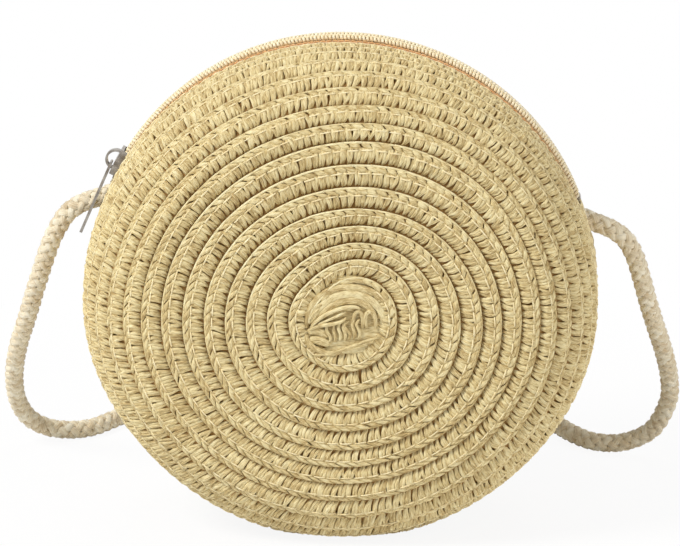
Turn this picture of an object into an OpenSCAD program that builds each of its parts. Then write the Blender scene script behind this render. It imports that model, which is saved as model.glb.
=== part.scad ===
// Round straw shoulder bag: two sewn straw halves, a zip over the top and a plaited rope strap.
// Millimetres. The bag stands on its rim: +X is its right, +Y its back and +Z is up. The origin is
// on the ground under the middle of the bag. Angles run anticlockwise from +X, seen from the front.

/* [Straw halves] */
// Diameter over the edges of the braid rows, round the rim
bag_d = 176; // [160:1:200]
// Depth from the middle of the front to the middle of the back
bag_depth = 94; // [88:1:110]
// Radius of the rounded shoulder between each face and the rim
shoulder_r = 26; // [22:0.5:28]
// How far each face domes between its edge and its middle
face_crown = 2; // [1:0.25:4]
// Height of rim that the flat under the bag takes off
base_drop = 2; // [1:0.1:2.2]
// Thickness of the sewn braid at the edge of a row
braid_t = 2.8; // [2.5:0.1:3.4]
// Width of a row of braid
row_pitch = 7; // [6:0.25:9]
// How far the edge of a row stands over the next row
row_step = 1; // [0.4:0.1:1.2]
// Width of the step at the edge of a row
row_nib = 0.8; // [0.4:0.1:1.2]

/* [Seam and lining] */
// Width of the thread seam that joins the halves round the bottom
seam_w = 1.6; // [1:0.1:2.4]
// Thickness of the seam thread
seam_t = 1.2; // [0.8:0.1:1.5]
// Thickness of the lining cloth
lining_t = 0.8; // [0.5:0.1:1.2]
// Gap between the straw, the lining and the tape
soft_gap = 0.3; // [0.2:0.05:0.4]

/* [Zip] */
// Angle of the middle of the zip
zip_mid = 88; // [86:0.5:90]
// Angle that the mouth of the bag takes round the rim
mouth_span = 135.6; // [120:0.1:135.6]
// Width of the mouth between the straw edges
mouth_w = 16; // [14:0.5:18]
// Half width of the zip, from its middle to the sewn edge of a tape
tape_half_w = 15.5; // [14:0.5:17]
// Thickness of the tape
tape_t = 0.6; // [0.4:0.1:0.7]
// How far the middle of the tape lies inside the rim where the coil sits on it
tape_drop = 0.9; // [0.6:0.1:1.1]
// Width of one half of the closed coil
coil_half_w = 3; // [2.6:0.1:3.2]
// Height of the coil on its tape
coil_h = 2; // [1.4:0.1:2.4]
// Slit between the two halves of the coil
slit_w = 0.9; // [0.8:0.1:1.2]
// Length of each top stop
top_stop_len = 0.9; // [0.6:0.1:1.2]
// Length of the bottom stop
bottom_stop_len = 1.4; // [1:0.1:2]

/* [Slider and puller] */
// Length of the slider along the zip
slider_len = 9.5; // [8.5:0.1:11]
// Thickness of the slider's plates
slider_plate_t = 1; // [0.8:0.1:1.2]
// Thickness of the slider's side lips
slider_lip_t = 0.85; // [0.6:0.05:1]
// Running gap between the slider and the zip
slider_gap = 0.35; // [0.3:0.05:0.4]
// Outside radius of the bridge on the slider
bridge_r = 3.7; // [3.5:0.1:4]
// Thickness of the bridge
bridge_t = 0.8; // [0.6:0.05:0.9]
// Width of the bridge
bridge_w = 2.2; // [1.6:0.1:2.4]
// Length of the puller from its pivot to its tip
puller_len = 28; // [22:0.5:32]
// Thickness of the puller
puller_t = 1; // [0.8:0.1:1]
// Width of the puller at its eye
puller_top_w = 4.6; // [4.2:0.1:5]
// Width of the puller at its tip
puller_tip_w = 6.4; // [5.4:0.1:6.6]
// How far the puller leans in from the tangent of the rim
puller_lean = 4.8; // [2:0.1:5]

/* [Strap] */
// Diameter of the plaited rope
strap_d = 7; // [6:0.5:7]
// Angle on the rim of the left end of the strap
strap_left_at = 161; // [161:0.5:166]
// Angle on the rim of the right end of the strap
strap_right_at = 14.5; // [8:0.5:14.5]
// Direction in which the left end leaves the bag
strap_left_aim = 200; // [190:1:200]
// Direction in which the right end leaves the bag
strap_right_aim = -22; // [-26:1:-18]
// How far behind the seam the strap goes in
strap_back = 7.5; // [7.5:0.25:9]
// Gap between the rope and its hole
strap_gap = 0.2; // [0.1:0.05:0.3]
// Depth of the knot inside the bag, measured along the rope
knot_in = 21; // [20.5:0.5:23]

/* [Hidden] */
$fn = 96;
overrun = 1;

straw = [0.86, 0.77, 0.57];
thread = [0.8, 0.7, 0.48];
lining_cloth = [0.9, 0.85, 0.74];
tape_cloth = [0.87, 0.72, 0.53];
coil_nylon = [0.9, 0.8, 0.64];
nickel = [0.58, 0.56, 0.52];
rope = [0.88, 0.82, 0.7];

// Section of a half, followed from the middle of its face to the seam: the face, the shoulder and
// the rim, each tangent to the next
bag_r = bag_d / 2;
centre_h = bag_r - base_drop;
face_rad = bag_r - shoulder_r;
dome_r = shoulder_r + (face_rad * face_rad + face_crown * face_crown) / (2 * face_crown);
dome_a = asin(face_rad / (dome_r - shoulder_r));
rim_w = bag_depth / 2 - shoulder_r - face_crown;
function arc_len(r, a) = r * a * PI / 180;
function arc_deg(r, l) = l / r * 180 / PI;
face_len = arc_len(dome_r, dome_a);
shoulder_len = arc_len(shoulder_r, 90 - dome_a);
section_len = face_len + shoulder_len + rim_w;

// Point [radius, height over the seam] at a length along the section, moved out by a distance
function on_face(a, out) = [(dome_r + out) * sin(a), bag_depth / 2 - dome_r + (dome_r + out) * cos(a)];
function on_shoulder(a, out) = [face_rad + (shoulder_r + out) * sin(a), rim_w + (shoulder_r + out) * cos(a)];
function section_at(l, out) =
    l <= face_len ? on_face(arc_deg(dome_r, l), out)
    : l <= face_len + shoulder_len ? on_shoulder(dome_a + arc_deg(shoulder_r, l - face_len), out)
    : [bag_r + out, section_len - l];

// Outside of a half: every row rises to its edge, then steps down to the next one
row_count = floor(section_len / row_pitch);
last_share = section_len / row_pitch - row_count;
row_edges = [for (k = [1:row_count]) let (l = k * row_pitch)
    each (l + 2 * row_nib < section_len ? [section_at(l, 0), section_at(l + row_nib, -row_step)]
                                        : [section_at(min(l, section_len - row_nib), 0)])];
rows_section = concat([section_at(0, -row_step)], row_edges,
                      [section_at(section_len, -row_step * (1 - last_share)), [0, 0]]);

// Smooth section inside the straw, closed past the seam
section_steps = 9;
smooth_lengths = concat([for (i = [0:section_steps]) face_len * i / section_steps],
                        [for (i = [1:section_steps]) face_len + shoulder_len * i / section_steps],
                        [section_len]);
function smooth_section(out, past) = concat([for (l = smooth_lengths) section_at(l, out)],
                                            [[bag_r + out, -past], [0, -past]]);

// Zip: places across the rim as [radius, height over the seam]
tape_in = braid_t + soft_gap;
tape_seat_r = bag_r - tape_in - tape_t / 2;
tape_mid_r = bag_r - tape_drop;
tape_top_r = tape_mid_r + tape_t / 2;
tape_low_r = tape_mid_r - tape_t / 2;
coil_top_r = tape_top_r + coil_h;
tape_bend = soft_gap + tape_t / 6;
tape_path = [[tape_seat_r, tape_half_w],
             [tape_seat_r, mouth_w / 2 - tape_bend],
             [tape_mid_r - tape_t, mouth_w / 2 - 3 * tape_t],
             [tape_mid_r, coil_half_w + tape_t],
             [tape_mid_r, slit_w / 2]];
mouth_from = zip_mid - mouth_span / 2;
mouth_to = zip_mid + mouth_span / 2;
function rim_deg(l) = arc_deg(bag_r, l);
tape_end_gap = 0.4;
stop_gap = 0.25;
tape_from = mouth_from + rim_deg(tape_end_gap);
tape_to = mouth_to - rim_deg(tape_end_gap);
bottom_stop_from = tape_from + rim_deg(stop_gap);
coil_from = bottom_stop_from + rim_deg(bottom_stop_len);
top_stop_to = tape_to - rim_deg(stop_gap);
coil_to = top_stop_to - rim_deg(top_stop_len);
stop_edge = slit_w / 2 + slider_gap / 2;

// Slider, at its closed place against the top stops
slider_at = coil_to - rim_deg(stop_gap + slider_len / 2);
slider_open_at = coil_from + rim_deg(stop_gap + slider_len / 2);
slider_low_r = tape_low_r - slider_gap;
slider_in_r = coil_top_r + slider_gap;
slider_top_r = slider_in_r + slider_plate_t;
slider_half_w = coil_half_w + slider_gap + slider_lip_t;
slider_corner = 1.2;
lip_low_r = tape_top_r + 1.4 * slider_gap;
post_t = 0.4;
post_len = 1.6;
bridge_in_r = bridge_r - bridge_t;

// Puller: its eye bar turns inside the foot of the bridge
eye_bar_r = puller_t / 2;
pivot_gap = 0.4;
pivot_inset = 1;
pivot_up = eye_bar_r + pivot_gap;
pivot_along = bridge_in_r - pivot_inset;
eye_side_w = 0.75;
eye_len = 6;
puller_neck = 2.4;
window_w = 1.7;
window_len = 5;
window_edge = 1.6;

// Knot in each end of the strap
knot_ring_r = 3.9;
knot_rope_r = 3.1;
knot_tail = 7;

// Strap: where each end leaves the bag, and the rope's route from there to the coil
strap_r = strap_d / 2;
function rim_point(at) = [bag_r * cos(at), strap_back, centre_h + bag_r * sin(at)];
function aim(a) = [cos(a), 0, sin(a)];
function rope_out(at, a) = strap_r * tan(abs(a - at)) + 2 * soft_gap;
left_out = rope_out(strap_left_at, strap_left_aim);
right_out = rope_out(strap_right_at, strap_right_aim);
left_exit = rim_point(strap_left_at) + left_out * aim(strap_left_aim);
right_exit = rim_point(strap_right_at) + right_out * aim(strap_right_aim);

// Coil of spare strap on the ground behind the bag: turns, radius of the outer turn, step between
// turns, rise between its two layers and place of its middle behind the bag
coil_turns = 3;
coil_r = 46;
coil_step = 7.8;
coil_rise = 7.5;
coil_back = 95;
coil_rings = 24;
half_turn = 0.5;
climb_from = (coil_turns - half_turn) / 2;
coil_start = [0, coil_back + coil_r, strap_r];
coil_end = coil_start + [0, 0, coil_rise];
straight = [strap_d, 0, 0];
function spiral_r(t) = coil_r - coil_step * min(t, coil_turns - t);
function climb(t) = coil_rise * (1 - cos(180 * min(1, max(0, (t - climb_from) / half_turn)))) / 2;
function spiral(t) = [spiral_r(t) * sin(360 * t), coil_back + spiral_r(t) * cos(360 * t), strap_r + climb(t)];
coil_route = concat([coil_start - straight],
                    [for (i = [0:coil_turns * coil_rings]) spiral(i / coil_rings)],
                    [coil_end + straight]);

// Points of the free stretches between the straight ends
left_points = [[-97.9, 8.2, 107.6], [-101.6, 10, 102.2], [-104.7, 12, 96], [-108, 15.5, 87],
               [-111.9, 21, 75.7], [-116.4, 29.5, 62.1], [-120.7, 38.5, 50], [-123.9, 48, 37.8],
               [-125.3, 56.5, 27.3], [-124.8, 64.5, 17.6], [-121.6, 71, 9.7], [-115.3, 74.5, 5.3],
               [-107.3, 76.5, 3.8], [-100, 80.5, 3.5], [-93.5, 89.5, 3.5], [-86, 102, 3.5],
               [-75, 116.5, 3.5], [-60, 128, 3.5], [-44, 136, 3.5], [-28, 140, 3.5]];
right_points = [[99.6, 8.8, 100.2], [103, 11.8, 93.6], [105.7, 16.5, 84.5], [108.7, 24, 72.5],
                [112, 33, 60.4], [115.3, 43, 48.4], [117.6, 52, 37], [118.2, 59.5, 26],
                [115.6, 64.2, 16.8], [112.2, 66.9, 10.7], [106.6, 68.8, 6.6], [99.6, 70.2, 4.2],
                [91, 73.5, 3.5], [83, 82.5, 3.5], [77, 93.5, 3.5], [69.5, 106.5, 3.5],
                [61.5, 117.5, 4], [51, 126, 6.2], [40, 133, 8.8], [28, 138.5, 10.5]];
left_route = concat([left_exit, left_exit + strap_d * aim(strap_left_aim)], left_points,
                    [coil_start - 2 * straight, coil_start - straight]);
right_route = concat([right_exit, right_exit + strap_d * aim(strap_right_aim)], right_points,
                     [coil_end + 2 * straight, coil_end + straight]);
strap_sides = 8;
coil_sides = 6;

// Least gap of the coil to itself, between points a half turn or more apart
function least(v, i = 0) = i == len(v) - 1 ? v[i] : min(v[i], least(v, i + 1));
coil_gap = least([for (i = [0:len(coil_route) - 1 - coil_rings / 2])
    least([for (k = [i + coil_rings / 2:len(coil_route) - 1]) norm(coil_route[i] - coil_route[k])])]) - strap_d;
function route_len(p, i = 1) = i == len(p) ? 0 : norm(p[i] - p[i - 1]) + route_len(p, i + 1);
echo(coil_least_gap = coil_gap);
echo(strap_length = route_len(left_route) + route_len(right_route) + route_len(coil_route));
echo(slider_travel_deg = slider_at - slider_open_at);
echo(puller_pivot = [(slider_top_r + pivot_up) * cos(slider_at) - pivot_along * sin(slider_at), 0,
                     centre_h + (slider_top_r + pivot_up) * sin(slider_at) + pivot_along * cos(slider_at)]);

// The bag's own frame: x to its right, y up and z to the front, from the middle of the bag
module in_bag() {
    translate([0, 0, centre_h]) rotate([90, 0, 0]) children();
}

module back_to_front() {
    mirror([0, 0, 1]) children();
}

// Everything above a flat at a height over the ground, in the bag's frame
module above(h) {
    translate([-bag_d, h - centre_h, -bag_depth]) cube([2 * bag_d, 2 * bag_d, 2 * bag_depth]);
}

// Ring segment round the rim: radii, heights over the seam and angles
module rim_band(r_from, r_to, h_from, h_to, a_from, a_to) {
    rotate([0, 0, a_from]) rotate_extrude(angle = a_to - a_from)
        translate([r_from, h_from]) square([r_to - r_from, h_to - h_from]);
}

// Straight hole or rope end along one end of the strap, in the part's frame
module along_strap(at, a) {
    translate(rim_point(at)) rotate([0, 90 - a, 0]) children();
}

module strap_holes() {
    for (e = [[strap_left_at, strap_left_aim], [strap_right_at, strap_right_aim]])
        along_strap(e[0], e[1])
            translate([0, 0, -knot_in]) cylinder(r = strap_r + strap_gap, h = 2 * knot_in);
}

// Half of the straw body: ridged outside, smooth inside, open at the mouth and grooved for the seam
module straw_half() {
    difference() {
        intersection() {
            rotate_extrude() polygon(rows_section);
            above(0);
        }
        intersection() {
            rotate_extrude() polygon(smooth_section(-braid_t, overrun));
            above(braid_t);
        }
        rim_band(face_rad, bag_r + overrun, -overrun, mouth_w / 2, mouth_from, mouth_to);
        rim_band(bag_r - braid_t + soft_gap / 2, bag_r + overrun, -overrun, seam_w / 2 + soft_gap / 3,
                 mouth_to - rim_deg(overrun), mouth_from + 360 + rim_deg(overrun));
    }
}

module front_shell() {
    color(straw) in_bag() straw_half();
}

module back_shell() {
    color(straw) difference() {
        in_bag() back_to_front() straw_half();
        strap_holes();
    }
}

// Thread seam that joins the last rows of the halves, from one end of the zip round to the other
module rim_seam() {
    seam_r = bag_r - braid_t + soft_gap;
    color(thread) in_bag() intersection() {
        rim_band(seam_r, seam_r + seam_t, -seam_w / 2, seam_w / 2,
                 mouth_to + rim_deg(overrun), mouth_from + 360 - rim_deg(overrun));
        above(0);
    }
}

// Cloth bowl inside a half, turned back where the tape is sewn in
module lining_half() {
    lift = tape_in;
    difference() {
        intersection() {
            rotate_extrude() polygon(smooth_section(-lift, 0));
            above(lift);
        }
        intersection() {
            rotate_extrude() polygon(smooth_section(-lift - lining_t, overrun));
            above(lift + lining_t);
        }
        rim_band(face_rad, bag_r, -overrun, tape_half_w + soft_gap, mouth_from, mouth_to);
    }
}

module front_lining() {
    color(lining_cloth) in_bag() lining_half();
}

module back_lining() {
    color(lining_cloth) difference() {
        in_bag() back_to_front() lining_half();
        strap_holes();
    }
}

// Outline of a strip of one thickness along a path of points
function seg_normal(p, i) = let (d = p[i + 1] - p[i]) [-d[1], d[0]] / norm(d);
function point_normal(p, i) =
    i == 0 ? seg_normal(p, 0)
    : i == len(p) - 1 ? seg_normal(p, i - 1)
    : let (a = seg_normal(p, i - 1), b = seg_normal(p, i)) (a + b) / (1 + a * b);
function strip(p, t) = concat([for (i = [0:len(p) - 1]) p[i] + t / 2 * point_normal(p, i)],
                              [for (i = [len(p) - 1:-1:0]) p[i] - t / 2 * point_normal(p, i)]);

module tape_half() {
    color(tape_cloth) rotate([0, 0, tape_from]) rotate_extrude(angle = tape_to - tape_from)
        polygon(strip(tape_path, tape_t));
}

module zip_tape_front() {
    in_bag() tape_half();
}

module zip_tape_back() {
    in_bag() back_to_front() tape_half();
}

// Half of the coil: a rounded row on its tape
module coil_half() {
    edge = coil_h / 3;
    low = slit_w / 2;
    color(coil_nylon) rotate([0, 0, coil_from]) rotate_extrude(angle = coil_to - coil_from)
        polygon([[tape_top_r, low], [coil_top_r - edge / 2, low], [coil_top_r, low + edge / 2],
                 [coil_top_r, coil_half_w - edge], [coil_top_r - edge, coil_half_w],
                 [tape_top_r, coil_half_w]]);
}

module zip_coil_front() {
    in_bag() coil_half();
}

module zip_coil_back() {
    in_bag() back_to_front() coil_half();
}

// Crimped stop on each tape past the closed end of the coil
module zip_top_stops() {
    color(nickel) in_bag() for (side = [0, 1]) mirror([0, 0, side])
        rim_band(tape_top_r, coil_top_r - slider_gap, stop_edge, coil_half_w,
                 top_stop_to - rim_deg(top_stop_len - stop_gap), top_stop_to);
}

// Box stop that holds both tapes together at the open end
module zip_bottom_stop() {
    color(nickel) in_bag()
        rim_band(tape_top_r, coil_top_r, -coil_half_w, coil_half_w,
                 bottom_stop_from, bottom_stop_from + rim_deg(bottom_stop_len - stop_gap));
}

// Slider: two plates and side lips round the coil, and a thin post that runs in the slit
module slider() {
    from = slider_at - rim_deg(slider_len / 2);
    to = slider_at + rim_deg(slider_len / 2);
    color(nickel) in_bag() intersection() {
        union() {
            rim_band(slider_low_r - slider_plate_t, slider_low_r, -slider_half_w, slider_half_w, from, to);
            rim_band(slider_in_r, slider_top_r, -slider_half_w, slider_half_w, from, to);
            for (side = [0, 1]) mirror([0, 0, side])
                rim_band(lip_low_r, slider_in_r + slider_plate_t / 2,
                         slider_half_w - slider_lip_t, slider_half_w, from, to);
            rim_band(slider_low_r - slider_plate_t / 2, slider_in_r + slider_plate_t / 2,
                     -post_t / 2, post_t / 2, to - rim_deg(post_len), to);
        }
        rotate([0, 0, slider_at]) rotate([0, 90, 0]) linear_extrude(2 * bag_r) slider_outline();
    }
}

// Outline of the slider seen from outside, with its corners cut
module slider_outline() {
    l = slider_len / 2 + overrun;
    w = slider_half_w;
    c = slider_corner;
    polygon([[-w + c, -l], [w - c, -l], [w, -l + c + overrun], [w, l - c - overrun], [w - c, l],
             [-w + c, l], [-w, l - c - overrun], [-w, -l + c + overrun]]);
}

// Bent bridge on the slider's back, over which the puller hooks
module slider_bridge() {
    color(nickel) in_bag() difference() {
        rotate([0, 0, slider_at]) translate([slider_top_r, 0, -bridge_w / 2])
            difference() {
                cylinder(r = bridge_r, h = bridge_w);
                translate([0, 0, -overrun]) cylinder(r = bridge_in_r, h = bridge_w + 2 * overrun);
            }
        translate([0, 0, -bridge_w]) cylinder(r = slider_top_r, h = 2 * bridge_w, $fn = 4 * $fn);
    }
}

// Flat of the puller: narrow at its eye, widening to a round tip with a slot in it
module puller_outline() {
    tip_r = puller_tip_w / 2;
    tip = puller_len - tip_r;
    hole_w = puller_top_w - 2 * eye_side_w;
    slot_y = puller_len - window_edge - window_w / 2;
    difference() {
        union() {
            polygon([[-puller_top_w / 2, 0], [puller_top_w / 2, 0],
                     [puller_top_w / 2, eye_len + puller_neck], [tip_r, tip],
                     [-tip_r, tip], [-puller_top_w / 2, eye_len + puller_neck]]);
            translate([0, tip]) circle(r = tip_r);
        }
        translate([-hole_w / 2, -overrun]) square([hole_w, eye_len + overrun]);
        translate([-window_w / 2, slot_y - window_len]) square([window_w, window_len]);
        for (y = [slot_y, slot_y - window_len]) translate([0, y]) circle(r = window_w / 2);
    }
}

module puller_tab() {
    color(nickel) in_bag() rotate([0, 0, slider_at])
        translate([slider_top_r + pivot_up, pivot_along, 0]) rotate([0, 0, puller_lean]) {
            rotate([0, 90, 0]) translate([0, 0, -puller_t / 2]) linear_extrude(puller_t) puller_outline();
            translate([0, 0, -puller_top_w / 2]) cylinder(r = eye_bar_r, h = puller_top_w);
        }
}

// Rope end through the straw and the lining, with the knot that holds it inside
module strap_knot(at, a) {
    color(rope) along_strap(at, a) rotate_extrude() {
        translate([0, -knot_in - knot_tail]) square([strap_r, knot_in + knot_tail + rope_out(at, a)]);
        translate([knot_ring_r, -knot_in]) circle(r = knot_rope_r);
    }
}

module strap_knot_left() {
    strap_knot(strap_left_at, strap_left_aim);
}

module strap_knot_right() {
    strap_knot(strap_right_at, strap_right_aim);
}

// Tube swept along a route, with square ends and no twist
function unit(v) = v / norm(v);
function heading(p, i) =
    i == 0 ? unit(p[1] - p[0])
    : i == len(p) - 1 ? unit(p[i] - p[i - 1])
    : unit(unit(p[i + 1] - p[i]) + unit(p[i] - p[i - 1]));
function square_to(v, t) = unit(v - (v * t) * t);
function carried(p, i, v) = let (n = square_to(v, heading(p, i)))
    i == len(p) - 1 ? [n] : concat([n], carried(p, i + 1, n));

module tube(p, r, sides) {
    up = carried(p, 0, [0, 0, 1]);
    points = [for (i = [0:len(p) - 1]) let (t = heading(p, i), n = up[i], b = cross(t, n))
        for (k = [0:sides - 1]) p[i] + r * (cos(360 * k / sides) * n + sin(360 * k / sides) * b)];
    last = (len(p) - 1) * sides;
    walls = [for (i = [0:len(p) - 2], k = [0:sides - 1])
        let (a = i * sides + k, b = i * sides + (k + 1) % sides)
            each [[a, a + sides, b + sides], [a, b + sides, b]]];
    ends = [for (k = [1:sides - 2]) each [[0, k, k + 1], [last, last + k + 1, last + k]]];
    polyhedron(points = points, faces = concat(walls, ends));
}

module strap_left() {
    color(rope) tube(left_route, strap_r, strap_sides);
}

module strap_right() {
    color(rope) tube(right_route, strap_r, strap_sides);
}

module strap_coil() {
    color(rope) tube(coil_route, strap_r, coil_sides);
}

front_shell();
back_shell();
rim_seam();
front_lining();
back_lining();
zip_tape_front();
zip_tape_back();
zip_coil_front();
zip_coil_back();
zip_top_stops();
zip_bottom_stop();
slider();
slider_bridge();
puller_tab();
strap_knot_left();
strap_knot_right();
strap_left();
strap_right();
strap_coil();
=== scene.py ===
import math

import bmesh
import bpy
import numpy as np
from mathutils import Matrix, Vector
from numpy.polynomial import polynomial


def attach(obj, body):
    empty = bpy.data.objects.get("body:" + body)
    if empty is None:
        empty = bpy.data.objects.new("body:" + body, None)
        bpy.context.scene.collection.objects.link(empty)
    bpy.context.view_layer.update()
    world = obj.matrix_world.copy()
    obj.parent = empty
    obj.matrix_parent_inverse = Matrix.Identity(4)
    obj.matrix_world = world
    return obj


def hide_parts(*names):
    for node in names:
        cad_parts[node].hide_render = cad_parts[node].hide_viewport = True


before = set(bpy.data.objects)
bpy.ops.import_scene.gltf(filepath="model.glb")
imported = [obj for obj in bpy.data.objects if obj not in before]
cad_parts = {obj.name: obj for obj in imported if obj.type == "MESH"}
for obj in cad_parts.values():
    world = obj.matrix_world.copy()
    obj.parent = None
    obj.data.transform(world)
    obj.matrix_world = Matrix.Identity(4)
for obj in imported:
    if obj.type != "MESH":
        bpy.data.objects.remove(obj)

scene = bpy.context.scene
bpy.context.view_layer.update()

# Studio: the bag is photographed from far off, a little above its middle and a little to its right,
# on a white table. A large soft lamp stands high on the left and a weak one fills in from the right.
MM = 0.001
PHOTO_SIZE = (680, 546)
CAMERA_AZIMUTH = math.radians(3.0)
CAMERA_ELEVATION = math.radians(15.8)
CAMERA_DISTANCE = 1400
PX_PER_MM = 2.828
BAG_MIDDLE_PX = (342.5, 280.5)
SENSOR = 36
CAMERA_REACH = 20000
BAG_MIDDLE = Vector((0, 0, 86))
WORLD_LIGHT = 0.25
TABLE_R = 6000
TABLE_WHITE = 0.93
SHADE_REACH = (50, 300)
SHADE_FILL = 0.9


def aimed(obj, place, target):
    """Puts a camera or a lamp at a place and turns it to a target, both in millimetres."""
    obj.location = place * MM
    obj.rotation_mode = "QUATERNION"
    obj.rotation_quaternion = (place - target).to_track_quat("Z", "Y")
    scene.collection.objects.link(obj)


def lamp(name, place, size, watts, colour):
    light = bpy.data.lights.new(name, "AREA")
    light.size = size
    light.energy = watts
    light.color = colour
    aimed(bpy.data.objects.new(name, light), Vector(place), BAG_MIDDLE)


def new_material(name):
    """A new node material, with its tree and its Principled shader."""
    material = bpy.data.materials.new(name)
    material.use_nodes = True
    tree = material.node_tree
    return material, tree, tree.nodes["Principled BSDF"]


def feed(tree, made, sockets):
    """Sets or links the inputs of a node, each by its name or number."""
    for key, value in sockets.items():
        if isinstance(value, bpy.types.NodeSocket):
            tree.links.new(value, made.inputs[key])
        else:
            made.inputs[key].default_value = value


def node(tree, kind, sockets=(), **settings):
    """Adds a shader node, sets its properties and feeds its inputs."""
    made = tree.nodes.new("ShaderNode" + kind)
    for key, value in settings.items():
        setattr(made, key, value)
    feed(tree, made, dict(sockets))
    return made


def maths(tree, operation, *values):
    """The output of a maths node, from values or other nodes' outputs."""
    return node(tree, "Math", dict(enumerate(values)), operation=operation).outputs[0]


def ranged(tree, value, ends, to=(0, 1)):
    """An output mapped from one range to another, and kept within it."""
    sockets = {"Value": value, "From Min": ends[0], "From Max": ends[1], "To Min": to[0], "To Max": to[1]}
    return node(tree, "MapRange", sockets).outputs[0]


toward = Vector((math.sin(CAMERA_AZIMUTH) * math.cos(CAMERA_ELEVATION),
                 -math.cos(CAMERA_AZIMUTH) * math.cos(CAMERA_ELEVATION),
                 math.sin(CAMERA_ELEVATION)))
rightward = Vector((math.cos(CAMERA_AZIMUTH), math.sin(CAMERA_AZIMUTH), 0))
upward = toward.cross(rightward)
aim_point = (BAG_MIDDLE - rightward * (BAG_MIDDLE_PX[0] - PHOTO_SIZE[0] / 2) / PX_PER_MM
             + upward * (BAG_MIDDLE_PX[1] - PHOTO_SIZE[1] / 2) / PX_PER_MM)
camera = bpy.data.objects.new("camera", bpy.data.cameras.new("camera"))
camera.data.sensor_width = SENSOR
camera.data.lens = SENSOR * CAMERA_DISTANCE * PX_PER_MM / PHOTO_SIZE[0]
camera.data.clip_end = CAMERA_REACH * MM
aimed(camera, aim_point + toward * CAMERA_DISTANCE, aim_point)
scene.camera = camera

lamp("key_lamp", (-900, -620, 1200), size=0.5, watts=19.5, colour=(1, 0.985, 0.96))
lamp("fill_lamp", (1350, -620, 480), size=1.4, watts=11, colour=(1, 0.95, 0.88))
lamp("back_lamp", (200, 900, 1300), size=0.9, watts=4, colour=(1, 1, 1))


def ray_is(tree, *kinds):
    """One for rays of these kinds, so that the ground is white to look at and weak as a light."""
    rays = node(tree, "LightPath")
    share = rays.outputs[kinds[0]]
    for kind in kinds[1:]:
        share = maths(tree, "MAXIMUM", share, rays.outputs[kind])
    return share


world = bpy.data.worlds.new("studio")
world.use_nodes = True
scene.world = world
tree = world.node_tree
seen = ray_is(tree, "Is Camera Ray", "Is Glossy Ray", "Is Transmission Ray")
strength = ranged(tree, seen, (0, 1), (WORLD_LIGHT, 1))
feed(tree, tree.nodes["Background"], {"Color": (1, 1, 1, 1), "Strength": strength})
scene.view_settings.view_transform = "Standard"

bm = bmesh.new()
bmesh.ops.create_circle(bm, cap_ends=True, segments=64, radius=TABLE_R * MM)
floor_mesh = bpy.data.meshes.new("floor")
bm.to_mesh(floor_mesh)
floor = bpy.data.objects.new("floor", floor_mesh)
scene.collection.objects.link(floor)
material, tree, shader = new_material("white_table")
feed(tree, shader, {"Base Color": (TABLE_WHITE, TABLE_WHITE, TABLE_WHITE, 1), "Roughness": 0.9})
seen = ray_is(tree, "Is Camera Ray", "Is Glossy Ray")
spot = node(tree, "TexCoord")
away = node(tree, "VectorMath", {0: spot.outputs["Object"]}, operation="LENGTH")
far = ranged(tree, away.outputs["Value"], [reach * MM for reach in SHADE_REACH], (SHADE_FILL, 1))
white = node(tree, "Emission", {"Color": (1, 1, 1, 1), "Strength": 1.0})
share = maths(tree, "MULTIPLY", seen, far)
mix = node(tree, "MixShader", {0: share, 1: shader.outputs[0], 2: white.outputs[0]})
feed(tree, tree.nodes["Material Output"], {"Surface": mix.outputs[0]})
floor_mesh.materials.append(material)

# Strap: one length of soft cotton rope, plaited from eight strands round a thin core. Each end goes
# through a hole in the back half into its knot, and the spare length lies coiled behind the bag.
BAG_R = 88
CENTRE_H = 86
ROPE_D = 7
ROPE_R = ROPE_D / 2
ROPE_LAY = 17
STRANDS_EACH_WAY = 4
STRAND_HALF_WIDTH = 1.5
STRAND_HALF_HEIGHT = 0.92
STRAND_RING_R = 2.36
STRAND_WAVE = 0.34
STRAND_WIDTHS = (0.93, 0.09)
STRAND_SIDES = 6
ROPE_SHADES = (0.35, 0.65)
CORE_SHADE = 0.4
STREAKS_APART = (10, 5)
PLAIT_START = (0.3, 0.4, 0.87)
ROUTE_SAMPLES = 12
ROPE_STEP = 0.8
CORE_R = 1.9
CORE_EVERY = 4
STRAP_BACK = 7.5
EXIT_LEFT = (161, 200)
EXIT_RIGHT = (14.5, -22)
EXIT_PAST = 0.6
COIL_TURNS = 3
COIL_R = 46
COIL_STEP = 7.8
COIL_RISE = 7.5
COIL_BACK = 95
COIL_SAMPLES = 24
LEFT_POINTS = [(-97.9, 8.2, 107.6), (-101.6, 10, 102.2), (-104.7, 12, 96), (-108, 15.5, 87),
               (-111.9, 21, 75.7), (-116.4, 29.5, 62.1), (-120.7, 38.5, 50), (-123.9, 48, 37.8),
               (-125.3, 56.5, 27.3), (-124.8, 64.5, 17.6), (-121.6, 71, 9.7), (-115.3, 74.5, 5.3),
               (-107.3, 76.5, 3.8), (-100, 80.5, 3.5), (-93.5, 89.5, 3.5), (-86, 102, 3.5),
               (-75, 116.5, 3.5), (-60, 128, 3.5), (-44, 136, 3.5), (-28, 140, 3.5)]
RIGHT_POINTS = [(99.6, 8.8, 100.2), (103, 11.8, 93.6), (105.7, 16.5, 84.5), (108.7, 24, 72.5),
                (112, 33, 60.4), (115.3, 43, 48.4), (117.6, 52, 37), (118.2, 59.5, 26),
                (115.6, 64.2, 16.8), (112.2, 66.9, 10.7), (106.6, 68.8, 6.6), (99.6, 70.2, 4.2),
                (91, 73.5, 3.5), (83, 82.5, 3.5), (77, 93.5, 3.5), (69.5, 106.5, 3.5),
                (61.5, 117.5, 4), (51, 126, 6.2), (40, 133, 8.8), (28, 138.5, 10.5)]
random = np.random.default_rng(11)


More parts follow.
